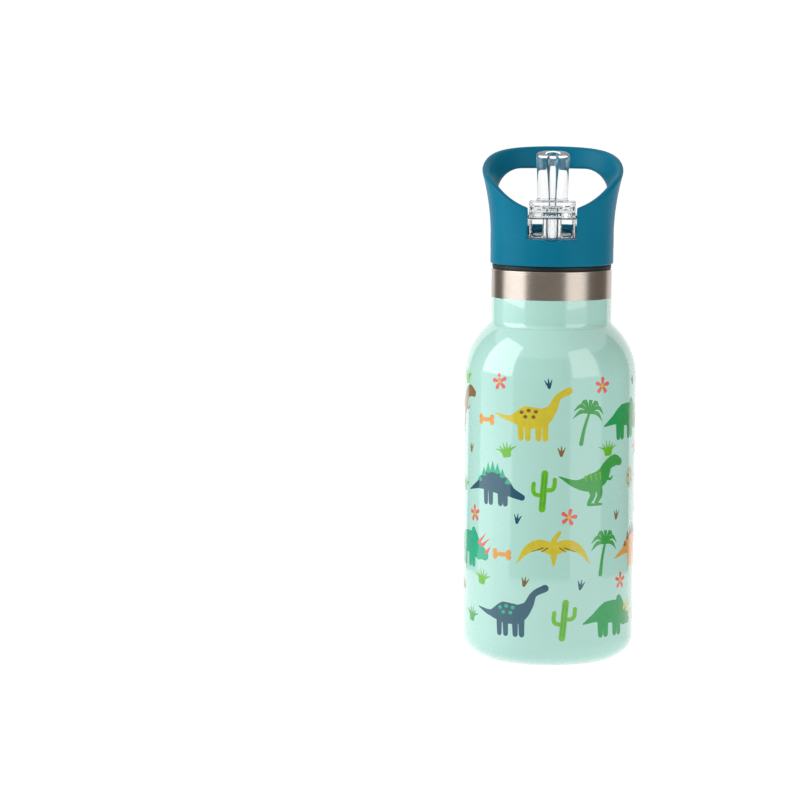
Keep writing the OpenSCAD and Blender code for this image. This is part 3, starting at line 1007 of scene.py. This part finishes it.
class Print:
    """One piece of the pattern: thin closed prisms of ink that stand on the paint."""

    def __init__(self):
        self.points, self.faces, self.inks = [], [], []

    def add(self, shapes, ink, accent, u0, v0, size=1.0, turn=0.0):
        c, s = size * math.cos(math.radians(turn)), size * math.sin(math.radians(turn))
        main, extra = shapes
        for layer, outline in enumerate(main + extra):
            placed = [(u0 + u * c - v * s, v0 + u * s + v * c) for u, v in outline]
            tint = ink if layer < len(main) else accent
            self.prism(placed, tint, INK_LIFT + LAYER_LIFT * layer)

    def prism(self, outline, ink, lift):
        flat, polygons = cut_flat(outline)
        start, count = len(self.points), len(flat)
        self.points += [wrap(u, v, lift) for u, v in flat]
        self.points += [wrap(u, v, -INK_DEPTH) for u, v in flat]
        edges = set()
        for f in polygons:
            self.faces.append([start + k for k in f])
            self.faces.append([start + count + k for k in reversed(f)])
            edges.update(zip(f, f[1:] + f[:1]))
        rim = [(a, b) for a, b in sorted(edges) if (b, a) not in edges]
        for a, b in rim:
            self.faces.append([start + b, start + a, start + count + a, start + count + b])
        self.inks += [ink] * (2 * len(polygons) + len(rim))

    def build(self, name):
        used = sorted(set(self.inks))
        obj = piece(
            name, self.points, self.faces, [ink_materials[i] for i in used], "bottle")
        obj.data.polygons.foreach_set("material_index", [used.index(i) for i in self.inks])
        obj.data.polygons.foreach_set("use_smooth", [False] * len(self.faces))


def build_print():
    pitch = 2 * math.pi * BODY_R / COLUMNS
    for row, v in enumerate(ROWS):
        pattern = Print()
        for column in range(COLUMNS):
            u = (column + ROW_STAGGER * row + FIRST_COLUMN) * pitch
            gap = u + pitch / 2
            animal = ANIMALS[(2 * row + column) % len(ANIMALS)]
            plant, *green = PLANTS[(row + 2 * column) % len(PLANTS)]
            ink = ANIMAL_INKS[(3 * row + 2 * column) % len(ANIMAL_INKS)]
            pattern.add(animal(), *ink, u, v, ANIMAL_SIZE)
            pattern.add(
                plant(), *green, gap, v + random.uniform(-2, 2), PLANT_SIZE,
                random.uniform(-8, 8))
            for k in range(2):
                small, *tint = SMALL[(row + column + 2 * k) % len(SMALL)]
                place = u + (6.0 + 9.0 * k) * (1 - 2 * k)
                pattern.add(
                    small(), *tint, place, v + SMALL_RISE + random.uniform(-1, 1), SMALL_SIZE,
                    random.uniform(-15, 15))
        pattern.build(f"printed_row_{row + 1}")


random.seed(7)
build_print()

# ---------------------------------------------------------------- stage, lights and camera (m)


def stage_piece(name, points, faces, material):
    data = bpy.data.meshes.new(name)
    data.from_pydata(points, [], faces)
    data.materials.append(material)
    obj = bpy.data.objects.new(name, data)
    bpy.context.scene.collection.objects.link(obj)
    return obj


def unseen_by(obj, *rays):
    """Hides a stage piece from these kinds of ray."""
    for ray in rays:
        setattr(obj, f"visible_{ray}", False)


FLOOR_HALF = 4.0
FLOOR_WHITE = 0.7
FLOOR_GLOW = 0.85


def build_floor():
    """A white floor that is seen, and just below it a dimmer one that lights the bottle."""
    half = FLOOR_HALF
    m = Nodes("floor_white", Roughness=0.6)
    m.set(m.shader, "Base Color", m.mix(
        m.span(m.noise(3, 2), 0.0, 1.0), (0.9, 0.9, 0.9), (0.93, 0.93, 0.93)))
    m.set(m.shader, "Emission Color", (1.0, 1.0, 1.0, 1.0))
    m.set(m.shader, "Emission Strength", FLOOR_WHITE)
    corners = [(-half, -half, 0), (half, -half, 0), (half, half, 0), (-half, half, 0)]
    floor = stage_piece("floor", corners, [(0, 1, 2, 3)], m.material)
    unseen_by(floor, "diffuse")
    glow = Nodes("floor_glow", Roughness=1.0)
    glow.set(glow.shader, "Base Color", (0.0, 0.0, 0.0, 1.0))
    glow.set(glow.shader, "Emission Color", (1.0, 1.0, 1.0, 1.0))
    glow.set(glow.shader, "Emission Strength", FLOOR_GLOW)
    lower = [(x, y, z - 0.5 * MM) for x, y, z in corners]
    light = stage_piece("floor_light", lower, [(0, 1, 2, 3)], glow.material)
    unseen_by(light, "camera", "glossy", "transmission", "shadow")


CARD_INNER_R = 0.22
CARD_R = 1.15
CARD_TOP = 0.95
CARD_FOOT = 0.002
CARD_STEPS = 12


def build_card(name, start, end):
    """Dark card, upright and along the floor, that only gloss sees. Angles are from -Y."""
    m = Nodes(f"{name}_grey", Roughness=1.0)
    m.set(m.shader, "Base Color", (0.02, 0.018, 0.015, 1.0))
    m.set(m.shader, "Emission Color", (1.0, 0.86, 0.74, 1.0))
    m.set(m.shader, "Emission Strength", 0.2)
    profile = ((CARD_INNER_R, CARD_FOOT), (CARD_R, CARD_FOOT), (CARD_R, CARD_TOP))
    points = []
    for i in range(CARD_STEPS + 1):
        a = math.radians(start + (end - start) * i / CARD_STEPS)
        points += [(math.sin(a) * r, -math.cos(a) * r, z) for r, z in profile]
    faces = [
        (3 * i + k, 3 * i + 3 + k, 3 * i + 4 + k, 3 * i + 1 + k)
        for i in range(CARD_STEPS) for k in (0, 1)]
    card = stage_piece(name, points, faces, m.material)
    unseen_by(card, "camera", "diffuse", "transmission", "shadow")


SOFTBOX_FOOT = 0.19


def build_softbox(name, angle, distance, width, height, radiance, color=(1, 1, 1)):
    """Upright light panel above the bottle's neck. Its angle is from -Y towards +X."""
    light = bpy.data.lights.new(name, "AREA")
    light.shape = "RECTANGLE"
    light.size = width
    light.size_y = height
    light.energy = radiance * math.pi * width * height
    light.color = color
    obj = bpy.data.objects.new(name, light)
    a = math.radians(angle)
    obj.location = (math.sin(a) * distance, -math.cos(a) * distance, SOFTBOX_FOOT + height / 2)
    inward = Vector((-math.sin(a), math.cos(a), 0.0))
    obj.rotation_euler = inward.to_track_quat("-Z", "Y").to_euler()
    bpy.context.scene.collection.objects.link(obj)


WORLD_WHITE = 1.05
WORLD_DIMMING = 0.83  # taken off for diffuse rays


def build_world():
    """White surroundings, dimmer as light on the bottle than they look behind it."""
    world = bpy.data.worlds.new("studio")
    bpy.context.scene.world = world
    world.use_nodes = True
    tree = world.node_tree
    background = tree.nodes["Background"]
    background.inputs["Color"].default_value = (1.0, 0.995, 0.99, 1.0)
    path = tree.nodes.new("ShaderNodeLightPath")
    strength = tree.nodes.new("ShaderNodeMath")
    strength.operation = "MULTIPLY_ADD"
    tree.links.new(path.outputs["Is Diffuse Ray"], strength.inputs[0])
    strength.inputs[1].default_value = -WORLD_DIMMING
    strength.inputs[2].default_value = WORLD_WHITE
    tree.links.new(strength.outputs[0], background.inputs["Strength"])


def build_lights():
    build_world()
    build_softbox("left_softbox", -77, 1.0, 0.95, 1.2, 3.4)
    build_softbox("right_softbox", 49, 1.0, 0.7, 1.0, 2.0, (1.0, 0.96, 0.92))
    build_card("front_card", -50, 27)
    build_card("right_card", 72, 132)
    build_card("left_card", -140, -105)


LENS = 141.4
SENSOR = 36.0
CAMERA_PLACE = (0.0, -1.279, 0.242)
CAMERA_TURN = (6.14, 2.75, 0.4)  # pitch, yaw and roll in degrees


def build_camera():
    data = bpy.data.cameras.new("camera")
    data.sensor_width = SENSOR
    data.lens = LENS
    camera = bpy.data.objects.new("camera", data)
    pitch, yaw, roll = (math.radians(a) for a in CAMERA_TURN)
    forward = Vector((
        -math.sin(yaw) * math.cos(pitch), math.cos(yaw) * math.cos(pitch), -math.sin(pitch)))
    right = Vector((math.cos(yaw), math.sin(yaw), 0.0))
    up = right.cross(forward)
    right, up = (
        right * math.cos(roll) + up * math.sin(roll),
        up * math.cos(roll) - right * math.sin(roll),
    )
    turn = Matrix((right, up, -forward)).transposed()
    camera.matrix_world = Matrix.Translation(CAMERA_PLACE) @ turn.to_4x4()
    bpy.context.scene.collection.objects.link(camera)
    bpy.context.scene.camera = camera


build_floor()
build_lights()
build_camera()

view = bpy.context.scene.view_settings
view.view_transform = "Standard"
